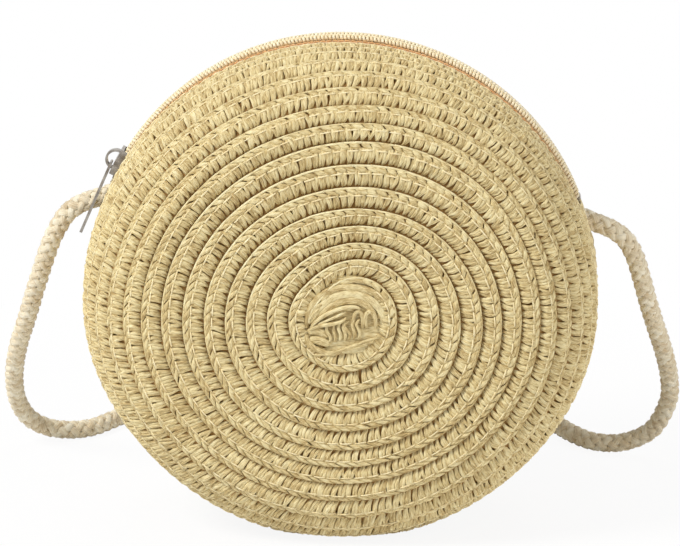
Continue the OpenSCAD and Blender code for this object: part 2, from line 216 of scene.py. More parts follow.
def strap_end(at, aim):
    """Where the strap leaves the rim and where it is clear of the straw, from two angles in degrees."""
    at, aim = math.radians(at), math.radians(aim)
    rim = np.array([BAG_R * math.cos(at), STRAP_BACK, CENTRE_H + BAG_R * math.sin(at)])
    direction = np.array([math.cos(aim), 0, math.sin(aim)])
    clear = rim + direction * (ROPE_R * math.tan(abs(aim - at)) + EXIT_PAST)
    return rim, clear, direction


def smooth_route(points, step):
    """A smooth line through points, as points an even step apart. Its bends don't overshoot."""
    p = np.array(points, float)
    p = np.vstack([2 * p[0] - p[1], p, 2 * p[-1] - p[-2]])
    line = []
    for a, b, c, d in zip(p, p[1:], p[2:], p[3:]):
        t0 = 0.0
        t1 = t0 + np.linalg.norm(b - a) ** 0.5
        t2 = t1 + np.linalg.norm(c - b) ** 0.5
        t3 = t2 + np.linalg.norm(d - c) ** 0.5
        t = np.linspace(t1, t2, ROUTE_SAMPLES, endpoint=False)[:, None]
        ab = ((t1 - t) * a + (t - t0) * b) / (t1 - t0)
        bc = ((t2 - t) * b + (t - t1) * c) / (t2 - t1)
        cd = ((t3 - t) * c + (t - t2) * d) / (t3 - t2)
        abc = ((t2 - t) * ab + (t - t0) * bc) / (t2 - t0)
        bcd = ((t3 - t) * bc + (t - t1) * cd) / (t3 - t1)
        line.append(((t2 - t) * abc + (t - t1) * bcd) / (t2 - t1))
    line = np.vstack(line + [p[-2:-1]])
    run = np.concatenate([[0], np.cumsum(np.linalg.norm(np.diff(line, axis=0), axis=1))])
    even = np.linspace(0, run[-1], int(run[-1] / step) + 1)
    return np.column_stack([np.interp(even, run, line[:, k]) for k in range(3)])


def frames_along(line):
    """Two directions square to a line at each of its points, carried along it without a twist."""
    tangents = np.gradient(line, axis=0)
    tangents /= np.linalg.norm(tangents, axis=1)[:, None]
    side = np.cross(tangents[0], PLAIT_START)
    sides = []
    for t in tangents:
        side = side - t * (side @ t)
        side = side / np.linalg.norm(side)
        sides.append(side)
    sides = np.array(sides)
    return sides, np.cross(tangents, sides)


def tube_faces(rings, sides, first):
    """Faces of a closed tube of rings, whose points start at a number."""
    quads = []
    for i in range(rings - 1):
        for k in range(sides):
            a, b = first + i * sides + k, first + i * sides + (k + 1) % sides
            quads.append((a, b, b + sides, a + sides))
    last = first + (rings - 1) * sides
    return quads + [tuple(range(first + sides - 1, first - 1, -1)), tuple(range(last, last + sides))]


def dressed(name, mesh, material, slot, *nodes):
    """Makes a finished piece of the bag from a mesh, in place of some of the CAD's nodes."""
    mesh.materials.clear()
    mesh.materials.append(material)
    mesh.polygons.foreach_set("use_smooth", [True] * len(mesh.polygons))
    piece = bpy.data.objects.new(name, mesh)
    scene.collection.objects.link(piece)
    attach(piece, "bag")
    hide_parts(*nodes)
    return piece


def fibre_layers(mesh, fibre, tint):
    """Stores the place in a strand, in millimetres, and a shade for each strand, for the materials."""
    mesh.attributes.new("fibre", "FLOAT_VECTOR", "POINT").data.foreach_set("vector", fibre.ravel())
    mesh.attributes.new("tint", "FLOAT", "POINT").data.foreach_set("value", tint.ravel())


def faced_outwards(mesh):
    """Turns the faces of closed shapes outwards."""
    bm = bmesh.new()
    bm.from_mesh(mesh)
    bmesh.ops.recalc_face_normals(bm, faces=bm.faces)
    bm.to_mesh(mesh)
    bm.free()
    return mesh


def plait(name, line, scale=1.0):
    """The mesh of a rope along a line: strands that wind both ways, over and under, round a core."""
    sides, others = frames_along(line)
    run = np.concatenate([[0], np.cumsum(np.linalg.norm(np.diff(line, axis=0), axis=1))])
    around = np.linspace(0, 2 * math.pi, STRAND_SIDES, endpoint=False)
    points, faces, fibre, tint = [], [], [], []
    for way in (1, -1):
        for strand in range(STRANDS_EACH_WAY):
            angle = way * 2 * math.pi * run / ROPE_LAY + 2 * math.pi * strand / STRANDS_EACH_WAY
            wave = way * np.cos(2 * math.pi * STRANDS_EACH_WAY * run / ROPE_LAY)
            out = np.cos(angle)[:, None] * sides + np.sin(angle)[:, None] * others
            centre = line + scale * out * (STRAND_RING_R + STRAND_WAVE * wave)[:, None]
            heading = np.gradient(centre, axis=0)
            heading /= np.linalg.norm(heading, axis=1)[:, None]
            across = np.cross(heading, out)
            narrowed = (STRAND_WIDTHS[0] + STRAND_WIDTHS[1] * wave)[:, None]
            width = scale * STRAND_HALF_WIDTH * narrowed * np.cos(around)
            height = scale * STRAND_HALF_HEIGHT * np.sin(around)[None, :] * np.ones_like(width)
            ring = (centre[:, None, :] + width[:, :, None] * across[:, None, :]
                    + height[:, :, None] * out[:, None, :])
            faces += tube_faces(len(line), STRAND_SIDES, sum(len(p) for p in points))
            points.append(ring.reshape(-1, 3))
            lengthwise = np.repeat(run[:, None], STRAND_SIDES, axis=1)
            place = (width + STREAKS_APART[0] * strand, height + STREAKS_APART[1] * way, lengthwise)
            fibre.append(np.stack(place, 2).reshape(-1, 3))
            tint.append(np.full(ring.shape[0] * STRAND_SIDES, random.uniform(*ROPE_SHADES)))
    core_line, side, other = (part[::CORE_EVERY, None, :] for part in (line, sides, others))
    core = (core_line + scale * CORE_R * np.cos(around)[None, :, None] * side
            + scale * CORE_R * np.sin(around)[None, :, None] * other)
    faces += tube_faces(len(core), STRAND_SIDES, sum(len(p) for p in points))
    points.append(core.reshape(-1, 3))
    fibre.append(core.reshape(-1, 3))
    tint.append(np.full(len(points[-1]), CORE_SHADE))
    mesh = bpy.data.meshes.new(name)
    mesh.from_pydata(np.vstack(points) * MM, [], faces)
    fibre_layers(mesh, np.vstack(fibre), np.concatenate(tint))
    return faced_outwards(mesh)


def look_group(name, **inputs):
    """A new node group that turns named colours and numbers into a colour and a height."""
    group = bpy.data.node_groups.new(name, "ShaderNodeTree")
    for label, default in inputs.items():
        kind = "NodeSocketColor" if isinstance(default, tuple) else "NodeSocketFloat"
        group.interface.new_socket(label, in_out="INPUT", socket_type=kind).default_value = default
    group.interface.new_socket("Color", in_out="OUTPUT", socket_type="NodeSocketColor")
    group.interface.new_socket("Height", in_out="OUTPUT", socket_type="NodeSocketFloat")
    return group, group.nodes.new("NodeGroupInput"), group.nodes.new("NodeGroupOutput")


def mixed(tree, factor, first, second):
    """The colour output of a mix between two colours, each of them a value or another node's output."""
    blend = node(tree, "Mix", {"Factor": factor, 6: first, 7: second}, data_type="RGBA")
    return blend.outputs[2]


def noise(tree, place, scale, detail):
    return node(tree, "TexNoise", {"Vector": place, "Scale": scale, "Detail": detail}).outputs["Fac"]


STREAK_SHARE = 0.55
TINT_SHARE = 0.34
PATCH_SHARE = 0.22
PATCH_SCALE = 0.35
DARK_TO_MID = (0.4, 0.57)
MID_TO_LIGHT = (0.53, 0.74)


def fine_fibre_group():
    """Node group: streaks along a fibre and a slow change of shade, for straw, rope and thread."""
    group, inputs, outputs = look_group("fine_fibre", Dark=(0.5, 0.4, 0.2, 1), Mid=(0.7, 0.6, 0.4, 1),
                                        Light=(0.9, 0.8, 0.6, 1), Streaks=6.0, Length=0.35)
    given = inputs.outputs
    fibre = node(group, "Attribute", attribute_name="fibre").outputs["Vector"]
    tint = node(group, "Attribute", attribute_name="tint").outputs["Fac"]
    stretch = node(group, "CombineXYZ", {0: given["Streaks"], 1: given["Streaks"], 2: given["Length"]})
    place = node(group, "VectorMath", {0: fibre, 1: stretch.outputs[0]}, operation="MULTIPLY")
    streak = noise(group, place.outputs[0], 1, 2)
    shade = maths(group, "MULTIPLY", streak, STREAK_SHARE)
    shade = maths(group, "MULTIPLY_ADD", tint, TINT_SHARE, shade)
    shade = maths(group, "MULTIPLY_ADD", noise(group, fibre, PATCH_SCALE, 1), PATCH_SHARE, shade)
    darker = mixed(group, ranged(group, shade, DARK_TO_MID), given["Dark"], given["Mid"])
    colour = mixed(group, ranged(group, shade, MID_TO_LIGHT), darker, given["Light"])
    feed(group, outputs, {"Color": colour, "Height": streak})
    return group


fine_fibre = fine_fibre_group()


def look_material(name, group, values, strength, depth, roughness, sheen):
    """A dull material made with a look's node group, and a bump of a depth in millimetres."""
    material, tree, shader = new_material(name)
    look = node(tree, "Group", values, node_tree=group)
    relief = node(tree, "Bump", {"Height": look.outputs["Height"], "Strength": strength,
                                 "Distance": depth * MM})
    feed(tree, shader, {"Base Color": look.outputs["Color"], "Normal": relief.outputs[0],
                        "Roughness": roughness, "Sheen Weight": sheen})
    return material, tree, shader, look


def fibre_material(name, dark, mid, light, streaks, length, bump, roughness, sheen=0.0):
    """A dull material whose streaks follow the fibre stored on the mesh."""
    values = {"Dark": (*dark, 1), "Mid": (*mid, 1), "Light": (*light, 1),
              "Streaks": streaks, "Length": length}
    return look_material(name, fine_fibre, values, strength=0.6, depth=bump, roughness=roughness,
                         sheen=sheen)[0]


rim_left, exit_left, way_left = strap_end(*EXIT_LEFT)
rim_right, exit_right, way_right = strap_end(*EXIT_RIGHT)
coil_start = np.array([0, COIL_BACK + COIL_R, ROPE_R])
coil_end = coil_start + (0, 0, COIL_RISE)
straight = np.array([ROPE_D, 0, 0])
turns = np.linspace(0, COIL_TURNS, COIL_TURNS * COIL_SAMPLES + 1)
coil_radius = COIL_R - COIL_STEP * np.minimum(turns, COIL_TURNS - turns)
climb = COIL_RISE * (1 - np.cos(math.pi * np.clip(2 * turns - COIL_TURNS + 0.5, 0, 1))) / 2
coil = np.column_stack([coil_radius * np.sin(2 * math.pi * turns),
                        COIL_BACK + coil_radius * np.cos(2 * math.pi * turns), ROPE_R + climb])
strap_points = np.vstack([rim_left, exit_left, exit_left + ROPE_D * way_left, LEFT_POINTS,
                          coil_start - 2 * straight, coil_start - straight, coil,
                          coil_end + straight, coil_end + 2 * straight, RIGHT_POINTS[::-1],
                          exit_right + ROPE_D * way_right, exit_right, rim_right])
strap_line = smooth_route(strap_points, ROPE_STEP)
cotton = fibre_material("cotton_rope", dark=(0.6, 0.46, 0.28), mid=(0.87, 0.78, 0.58),
                        light=(0.97, 0.93, 0.79), streaks=4.5, length=0.3, bump=0.25, roughness=0.85,
                        sheen=0.3)
strap = dressed("rope_strap", plait("rope_strap", strap_line), cotton, "strap_rope",
                "strap_left", "strap_right", "strap_coil")

# Rope ends: each end of the strap goes into the bag, where a knot too big for its hole holds it. The
# knot is the same cotton rope, wound once round its own end and pulled tight.
KNOT_IN = 21
KNOT_TAIL = 7
KNOT_RING_R = 3.9
KNOT_RING_SLANT = 0.8
KNOT_RING_POINTS = 13
KNOT_SCALE = 0.84
for end, rim, way in (("left", rim_left, way_left), ("right", rim_right, way_right)):
    name = end + "_rope_knot"
    tail_end = rim - way * (KNOT_IN + KNOT_TAIL)
    tail = smooth_route([rim, rim - way * KNOT_IN / 2, rim - way * KNOT_IN, tail_end], ROPE_STEP)
    across = np.array([-way[2], 0, way[0]])
    turn = np.linspace(0, 2 * math.pi, KNOT_RING_POINTS)[:, None]
    around = np.cos(turn) * across + np.sin(turn) * np.array([0, 1, 0])
    ring = rim - way * (KNOT_IN + KNOT_RING_SLANT * (turn / math.pi - 1)) + KNOT_RING_R * around
    parts = bmesh.new()
    for part, route, scale in (("tail", tail, 1.0), ("turn", smooth_route(ring, ROPE_STEP), KNOT_SCALE)):
        parts.from_mesh(plait(f"{name}_{part}", route, scale))
    mesh = bpy.data.meshes.new(name)
    parts.to_mesh(mesh)
    dressed(name, mesh, cotton, "strap_rope", "strap_knot_" + end)

# Straw halves: each is one long braid of twisted paper straw, wound outwards from the middle of its
# face and machine-sewn, with every row lying on top of the start of the next one. The braid is soft,
# so a half swells at its sides, sinks back behind the zip and is pressed flat at its foot.
SHOULDER_R = 26
FACE_CROWN = 2
HALF_DEPTH = 47
STRAW_T = 2.8
MOUTH_MIDDLE = 88
MOUTH_SPAN = 135.6
MOUTH_HALF_W = 8
MOUTH_BLEND = 3
SEAM_HALF_W = 0.6
PRESS_H = 3
SWELLS = [(-12, 26, 1.9), (190, 26, 1.9)]
SWELL_FROM = 40
SIGHT_RIGHT = 0.052
SIGHT_UP = 0.283
SIGHT_LEVEL = 0.067
SINK_FROM = 0.5
SINK_Y = 3
SINK_SOFT = 0.7
SINK_BLENDS = (0.06, 8)
ROW = 7
START_TURNS = 2.715
FIRST_TURN = -1.08
FIRST_EDGE_TURN = -1.47
MIDDLE_TURN = 8.6
LAST_TURN = 16.4
SNAP_FROM = 3.4
SNAP_TO = 1.2
LEAST_ROW = 2.4
BRAID_SAMPLES = 40001
SHIFT_AT = (16, 40, 60, 76)
ROW_SHIFTS = ((9, 7.5, 2, -1, 0.5, 2.5, 5.5, 8),
              (10, 5.5, -0.5, -1.5, 1.5, 4.5, 6.5, 9),
              (8.5, 7.5, 2, -0.5, 2, 3, 4.5, 6.5),
              (6.5, 5.5, 0.5, -2, 1, 4, 6.5, 7))
SHIFT_WAVES = 4
SHIFT_END = (86, 112)
EDGE_SINK = 0.5
EDGE_SINK_FROM = (54, 76)
FOLD_AT = -130
STRAND_SHADES = (0.4, 0.64)
STREAK_SHIFT = 400
face_rad = BAG_R - SHOULDER_R
dome_r = SHOULDER_R + (face_rad ** 2 + FACE_CROWN ** 2) / (2 * FACE_CROWN)
dome_a = math.asin(face_rad / (dome_r - SHOULDER_R))
rim_w = HALF_DEPTH - SHOULDER_R - FACE_CROWN
face_len = dome_r * dome_a
shoulder_len = SHOULDER_R * (math.pi / 2 - dome_a)
section_len = face_len + shoulder_len + rim_w
mouth_len = section_len - MOUTH_HALF_W
seam_len = section_len - SEAM_HALF_W


def mouth_middle(back):
    """The middle of the mouth in degrees round a half, counted from the right as the half is seen."""
    return 180 - MOUTH_MIDDLE if back else MOUTH_MIDDLE


def section_at(length, out):
    """Radius and height over the seam of a half, at a length from the middle of its face."""
    face = length < face_len
    angle = np.where(face, length / dome_r, dome_a + (length - face_len) / SHOULDER_R)
    angle = np.clip(angle, 0, math.pi / 2)
    arc = np.where(face, dome_r, SHOULDER_R) + out
    radius = np.where(face, 0, face_rad) + arc * np.sin(angle)
    height = np.where(face, HALF_DEPTH - dome_r, rim_w) + arc * np.cos(angle)
    return radius, height - np.clip(length - face_len - shoulder_len, 0, None)


def eased(share):
    """A share from 0 to 1 that starts and ends gently."""
    share = np.clip(share, 0, 1)
    return share * share * (3 - 2 * share)


def pressed(height):
    """Heights over the ground, with the lowest few millimetres pressed together under the bag."""
    return np.where(height < PRESS_H, (np.maximum(height, -PRESS_H) + PRESS_H) ** 2 / (4 * PRESS_H), height)


def settled(x, y, z):
    """Points of the straw, from the bag's middle: its sides swell and its back sinks behind the zip."""
    radius, angle = np.hypot(x, z), np.arctan2(z, x)
    swell = 0
    for middle, spread, most in SWELLS:
        off = (np.degrees(angle) - middle + 180) % 360 - 180
        swell = swell + most * np.exp(-(off / spread) ** 2)
    swell = swell * eased((radius - SWELL_FROM) / (BAG_R - SWELL_FROM))
    sight = np.clip(SIGHT_RIGHT * np.cos(angle) + SIGHT_UP * np.sin(angle) - SIGHT_LEVEL, 0, None)
    limit = BAG_R + SINK_FROM - sight * (y - SINK_Y)
    over = np.clip((radius - limit) / SINK_SOFT, -30, 30)
    sink = np.where(y > 0, SINK_SOFT * np.log1p(np.exp(over)), 0)
    sink = sink * eased(sight / SINK_BLENDS[0]) * eased((y - 1) / SINK_BLENDS[1])
    scaled = 1 + (swell - sink) / np.maximum(radius, 1)
    return np.stack([x * scaled, y, pressed(CENTRE_H + z * scaled)], -1)


def on_half(length, angle, out, back):
    """Points on a half: a length from the middle of its face, an angle round it and a distance out."""
    radius, height = section_at(length, out)
    side = -1 if back else 1
    return settled(side * radius * np.cos(angle), -side * height, radius * np.sin(angle))


def waves_round(angle):
    """The waves that a smooth shift round the bag is made of, at some angles."""
    return [wave(number * angle) for number in range(SHIFT_WAVES) for wave in (np.cos, np.sin)]


shift_angles = np.linspace(0, 2 * math.pi, len(ROW_SHIFTS[0]), endpoint=False)
shift_shares = np.linalg.lstsq(np.column_stack(waves_round(shift_angles)), np.transpose(ROW_SHIFTS),
                               rcond=None)[0]


def row_shift(turn, length):
    """How far a row lies out from an even spiral, since the braid starts right of the middle and low.

    ROW_SHIFTS has it as read from the photo's rows in eight directions, from the right and up over
    the top, at each of the lengths SHIFT_AT from the middle of the face.
    """
    waves = waves_round(-2 * math.pi * turn)
    shift = sum(np.interp(length, SHIFT_AT, share) * wave for share, wave in zip(shift_shares, waves))
    return shift * (1 - eased((length - SHIFT_END[0]) / (SHIFT_END[1] - SHIFT_END[0])))


def row_edge(turn, back):
    """Length at which a row ends, turn by turn. The last row is drawn to the mouth or to the seam."""
    off_middle = np.abs((-360 * turn - mouth_middle(back) + 180) % 360 - 180)
    in_mouth = eased((MOUTH_SPAN / 2 + MOUTH_BLEND / 2 - off_middle) / MOUTH_BLEND)
    end = seam_len + (mouth_len - seam_len) * in_mouth
    raw = ROW * (turn + START_TURNS)
    raw = raw + row_shift(turn, raw)
    raw = raw + (end - raw) * eased((SNAP_FROM - (end - raw)) / (SNAP_FROM - SNAP_TO))
    return np.clip(raw, 0, end)


def along_braid(first, last, pitch, across, back):
    """Turns at an even pitch along the braid, where the row is wide enough."""
    turn = np.linspace(first, last, BRAID_SAMPLES)
    inner, outer = row_edge(turn - 1, back), row_edge(turn, back)
    radius = section_at(inner + across * (outer - inner), 0)[0]
    run = np.cumsum(2 * math.pi * radius) * (turn[1] - turn[0])
    places = np.interp(np.arange(0, run[-1], pitch), run, turn)
    return places[row_edge(places, back) - row_edge(places - 1, back) > LEAST_ROW]


def on_braid(turn, along, across, out, back):
    """Points on the braid: along the row from a turn, and across it as a share of its width."""
    inner, outer = row_edge(turn - 1, back), row_edge(turn, back)
    radius = section_at(inner + across * (outer - inner), 0)[0]
    here = turn + along / (2 * math.pi * np.maximum(radius, ROW))
    inner, outer = row_edge(here - 1, back), row_edge(here, back)
    return on_half(inner + across * (outer - inner), -2 * math.pi * here, out, back)


def toward_side(turn, degrees):
    """One where the braid passes a direction from the bag's middle, minus one on the far side."""
    return np.cos(-2 * math.pi * turn - math.radians(degrees))


def edge_sink(turn, back):
    """How far the raised edge of a row lies pressed down, past the turn of the shoulder."""
    past = (row_edge(turn, back) - EDGE_SINK_FROM[0]) / (EDGE_SINK_FROM[1] - EDGE_SINK_FROM[0])
    return EDGE_SINK * eased(past)


def unit_strand(sides, cuts):
    """A closed round strand of unit radius and unit length along Y, cut across into short lengths."""
    bm = bmesh.new()
    bmesh.ops.create_cone(bm, cap_ends=True, segments=sides, radius1=1, radius2=1, depth=1,
                          matrix=Matrix.Translation((0, 0.5, 0)) @ Matrix.Rotation(math.pi / 2, 4, "X"))
    long_edges = [e for e in bm.edges if abs(e.verts[0].co.y - e.verts[1].co.y) > 0.5]
    bmesh.ops.subdivide_edges(bm, edges=long_edges, cuts=cuts)
    mesh = bpy.data.meshes.new("unit_strand")
    bm.to_mesh(mesh)
    return mesh


def many(name, unit, count):
    """A mesh that holds a shape many times over, one after another, made by an array."""
    holder = bpy.data.objects.new(name, unit)
    scene.collection.objects.link(holder)
    rows = holder.modifiers.new("rows", "ARRAY")
    rows.count = count
    rows.use_relative_offset = False
    mesh = bpy.data.meshes.new_from_object(holder.evaluated_get(bpy.context.evaluated_depsgraph_get()))
    bpy.data.objects.remove(holder)
    mesh.name = name
    return mesh


def places_of(mesh):
    """The points of a mesh, as an array."""
    return np.array([v.co for v in mesh.vertices])


def shape_of(unit):
    """The unit strand's points: across and out as shares of its radius, and along it from 0 to 1."""
    x, y, z = places_of(unit)[None].transpose(2, 0, 1)
    return x, y.clip(0, 1), z


def strands_for(sides, cuts, first, last, pitch, across, back):
    """Strands at an even pitch along the braid: their unit, its points, their turns and their number."""
    unit = unit_strand(sides, cuts)
    turn = along_braid(first, last, pitch, across, back)[:, None]
    return unit, *shape_of(unit), turn, len(turn)


def scatter(count, spread):
    """One small difference for each strand."""
    return random.normal(0, spread, (count, 1)).clip(-2 * spread, 2 * spread)


def laid(name, unit, points, fibre, shades=STRAND_SHADES):
    """The mesh of many strands, from the points of each and their places across, out and along it."""
    mesh = many(name, unit, len(points))
    mesh.vertices.foreach_set("co", (points * MM).ravel())
    fibre = np.stack(np.broadcast_arrays(*fibre), -1)
    fibre = fibre + random.uniform(0, STREAK_SHIFT, (len(points), 1, 3))
    tint = np.repeat(random.uniform(*shades, (len(points), 1)), points.shape[1], axis=1)
    fibre_layers(mesh, fibre, tint)
    return faced_outwards(mesh)


# Ribs: twisted straws that run across the row in pairs, from under the row before to the leaves. They
# lean and bow a little, each in its own way, and they are thinner where the row before covers them.
RIB_PITCH = 1.2
RIB_PITCH_AT = 0.4
RIB_PAIR = 0.33
RIB_PAIR_FADE = 1.3
RIB_SPAN = (-0.08, 0.76)
RIB_HALF_W = 0.69
RIB_HALF_H = 0.74
RIB_TAPER = (0.66, 0.48, 0.5)
RIB_BOW = 0.5
RIB_RISE = ((0, 0.2, 0.4, 0.6, 0.8, 1), (-2.2, -1.55, -0.8, -0.42, -0.45, -0.8))
RIB_LEAN = 11
RIB_LEAN_ROUND = 10
RIB_LEAN_AT = -105
RIB_LEAN_SLOW = 5
RIB_SLOW_WAVES = (2.3, 0.37)
RIB_SCATTER = {"lean": math.radians(4), "width": 0.1, "bow": 0.16, "along": 0.08, "crumple": 0.2,
               "across": 0.015, "out": 0.16}


def ribs(name, first, last, back):
    unit, x, y, z, turn, count = strands_for(6, 3, first, last, RIB_PITCH, RIB_PITCH_AT, back)
    slow = [wave * turn * 2 * math.pi for wave in RIB_SLOW_WAVES]
    slow = np.sin(slow[0] + 1) * np.sin(slow[1])
    lean = np.radians(RIB_LEAN + RIB_LEAN_ROUND * toward_side(turn, RIB_LEAN_AT) + RIB_LEAN_SLOW * slow)
    lean = lean + scatter(count, RIB_SCATTER["lean"])
    taper = RIB_TAPER[0] + RIB_TAPER[1] * eased(y / RIB_TAPER[2])
    width = x * RIB_HALF_W * (1 + scatter(count, RIB_SCATTER["width"])) * taper
    reach = (RIB_SPAN[1] - RIB_SPAN[0]) * ROW
    bow = (RIB_BOW + scatter(count, RIB_SCATTER["bow"])) * np.sin(math.pi * y)
    paired = RIB_PAIR * (-1.0) ** np.arange(count)[:, None] * (1 - y) ** RIB_PAIR_FADE
    along = np.tan(lean) * (y - 0.5) * reach + bow + paired + scatter(count, RIB_SCATTER["along"]) + width
    along = along + scatter(count, RIB_SCATTER["crumple"]) * np.sin(2 * math.pi * y)
    across = RIB_SPAN[0] + (RIB_SPAN[1] - RIB_SPAN[0]) * y + scatter(count, RIB_SCATTER["across"])
    lift = scatter(count, RIB_SCATTER["out"]) * np.sin(math.pi * y)
    out = np.interp(y, *RIB_RISE) + lift + z * RIB_HALF_H * taper
    return laid(name, unit, on_braid(turn, along, across, out, back), (width, z * RIB_HALF_H, y * reach))


# Leaves: the raised edge of the row, where the straws turn back. Each shows as a short flat leaf on a
# slant that lies over the end of the next.
LEAF_PITCH = 3.5
LEAF_LEN = 3.45
LEAF_MIDDLE = 0.83
LEAF_HALF_W = 1.15
LEAF_HALF_H = 0.6
LEAF_SHEAR = 1.3
LEAF_SHEAR_ROUND = 0.25
LEAF_TURN = 0.02
LEAF_OUT = -0.62
LEAF_BULGE = 0.5
LEAF_TIP = 0.05
LEAF_FLATNESS = 0.7
LEAF_NARROWING = 0.15
LEAF_THINNING = 0.3
LEAF_SCATTER = {"length": 0.07, "shear": 0.15, "along": 0.2, "out": 0.07}


def leaves(name, first, last, back):
    unit, x, y, z, turn, count = strands_for(8, 4, first, last, LEAF_PITCH, LEAF_MIDDLE, back)
    bulge = np.sin(math.pi * (LEAF_TIP + (1 - 2 * LEAF_TIP) * y)) ** LEAF_FLATNESS
    length = LEAF_LEN * (1 + scatter(count, LEAF_SCATTER["length"]))
    shear = 1 + scatter(count, LEAF_SCATTER["shear"]) + LEAF_SHEAR_ROUND * toward_side(turn, FOLD_AT)
    along = (y - 0.5) * length - x * LEAF_SHEAR * shear + scatter(count, LEAF_SCATTER["along"])
    width = x * LEAF_HALF_W * (1 - LEAF_NARROWING * (1 - bulge))
    across = LEAF_MIDDLE + width / ROW - LEAF_TURN * (y - 0.5)
    height = np.sign(z) * np.abs(z) ** LEAF_FLATNESS * LEAF_HALF_H * (1 - LEAF_THINNING * (1 - bulge))
    out = LEAF_OUT + LEAF_BULGE * bulge + scatter(count, LEAF_SCATTER["out"]) + height
    out = out - edge_sink(turn, back)
    fibre = (x * LEAF_HALF_W, z * LEAF_HALF_H, along)
    return laid(name, unit, on_braid(turn, along, across, out, back), fibre)


# Lips: the thin turned lip of straw outside the leaves. It stands up most on the upper left of the
# bag, and lies folded in on the lower left. Its colour carries a painted highlight, lightest towards the
# upper left where the light falls, and painted shade where it lies sunk or folded.
LIP_PITCH = 6
LIP_LEN = 7
LIP_ACROSS = 0.975
LIP_HALF = 0.36
LIP_OUT = -0.15
LIP_ARCH = 0.1
LIP_LIFT = 0.2
LIP_LIFT_AT = 120
LIP_FOLD = 0.3
LIP_SINKS = 1.4
LIP_TONE_AND_HIGHLIGHT = 0.62
LIP_PAINTED_LIGHT_ROUND = 0.26
LIP_PAINTED_SHADE_SINK = 0.5
LIP_SCATTER = {"along": 0.2, "across": 0.04, "out": 0.04, "shade": 0.1}


def lips(name, first, last, back):
    unit, x, y, z, turn, count = strands_for(6, 3, first, last, LIP_PITCH, LIP_ACROSS, back)
    along = (y - 0.5) * LIP_LEN + scatter(count, LIP_SCATTER["along"])
    across = LIP_ACROSS + (scatter(count, LIP_SCATTER["across"]) + x * LIP_HALF) / ROW
    turned_up = toward_side(turn, LIP_LIFT_AT)
    sink = edge_sink(turn, back) + LIP_FOLD * toward_side(turn, FOLD_AT).clip(0, 1)
    out = LIP_LIFT * turned_up + LIP_OUT + LIP_ARCH * np.sin(math.pi * y) - LIP_SINKS * sink
    out = out + scatter(count, LIP_SCATTER["out"]) + z * LIP_HALF
    # Painted light: the lip's tint is lighter where it faces the light on the upper left, and darker where
    # it sinks or folds.
    shade = LIP_TONE_AND_HIGHLIGHT + LIP_PAINTED_LIGHT_ROUND * turned_up - LIP_PAINTED_SHADE_SINK * sink
    return laid(name, unit, on_braid(turn, along, across, out, back), (x * LIP_HALF, z * LIP_HALF, along),
                (shade - LIP_SCATTER["shade"], shade + LIP_SCATTER["shade"]))


# Row stitches: the thread that sews each row to the next, one arched stitch after another beside the
# leaves.
STITCH_PITCH = 4.7
STITCH_LEN = 3.9
STITCH_ACROSS = 0.64
STITCH_HALF_W = 0.27
STITCH_THINNING = 0.3
STITCH_SLANT = 0.15
STITCH_ENDS_OUT = 0.21
STITCH_ARCH = 0.25
STITCH_SINKS = 0.4
STITCH_SCATTER = {"along": 0.12, "across": 0.06}


def stitches(name, first, last, back):
    unit, x, y, z, turn, count = strands_for(5, 2, first, last, STITCH_PITCH, STITCH_ACROSS, back)
    half = STITCH_HALF_W * (1 - STITCH_THINNING * (1 - np.sin(math.pi * y)))
    along = (y - 0.5) * STITCH_LEN + scatter(count, STITCH_SCATTER["along"])
    beside = scatter(count, STITCH_SCATTER["across"]) + x * half + STITCH_SLANT * (y - 0.5)
    out = STITCH_ENDS_OUT + STITCH_ARCH * np.sin(math.pi * y) + z * half
    out = out - STITCH_SINKS * edge_sink(turn, back)
    points = on_braid(turn, along, STITCH_ACROSS + beside / ROW, out, back)
    return laid(name, unit, points, (x * STITCH_HALF_W, z * STITCH_HALF_W, along))


# Braid start: the braid's first few centimetres, folded over and sewn down in the middle of the face.
# Long straws lie along the fold, short ones show side by side in it, and a bed of straw lies under
# them. A straw is a half width, a half height, a distance out and a path over the face.
START_STRAPS = [(1.3, 0.45, -0.25, [(-10, -3.6), (-7.2, 5), (0, 11), (9, 11), (16, 6.5), (20, 0.5)]),
                (1.5, 0.45, -0.2, [(-8, -2), (-4, 5), (2.6, 8.6), (9.3, 8), (14.4, 4.2), (16.5, -2)]),
                (1.4, 0.5, -0.25, [(-6, -1), (-1, 4.6), (5.2, 6.2), (10.6, 4.8), (13.4, 0)]),
                (0.75, 0.6, 0.5, [(-8.6, -3.8), (-4.8, 0.2), (-0.3, 3), (5.5, 4.3), (8.4, 3.4)]),
                (0.7, 0.6, 0.55, [(-8.8, -4.2), (-4.4, -2.5), (0.4, -1.6), (3.8, 0.4)]),
                (0.5, 0.5, 0.45, [(-6, -2.2), (-2.1, -0.4), (1, 1.1), (3.4, 2.5)]),
                (0.75, 0.5, 0.0, [(6.2, -2.5), (6.6, 1.4), (8, 2.6), (9.2, 1), (9.1, -3.5)]),
                (0.8, 0.5, 0.0, [(10.8, -3.5), (10.4, 1), (11.8, 2.6), (13.4, 1), (13.6, -3.5)]),
                (1.6, 0.6, -0.25, [(-9.4, -5.2), (-5.6, -4.8), (-3, -7)]),
                (1.6, 0.6, -0.3, [(-9, -8.2), (-5.4, -8.2), (-2.2, -9.8)]),
                (1.0, 0.55, 0.0, [(-9.8, -6), (-8.4, -9.8), (-3.5, -12.4), (2, -12)]),
                (0.7, 0.5, 0.15, [(-8, -13.2), (-1, -12.3), (7, -9.4), (15.5, -6.4)])]
START_RIBS = 7
START_RIB_SIZE = (0.62, 0.65, -0.15)
START_RIB_FIRST = (-2.2, -3.2)
START_RIB_STEP = (1.65, 0.28)
START_RIB_PATH = [(0.6, 1.2), (-0.4, -1), (0.5, -3), (0.1, -5.6)]
START_RIB_SCATTER = (0.2, 0.25)
START_BED = 11
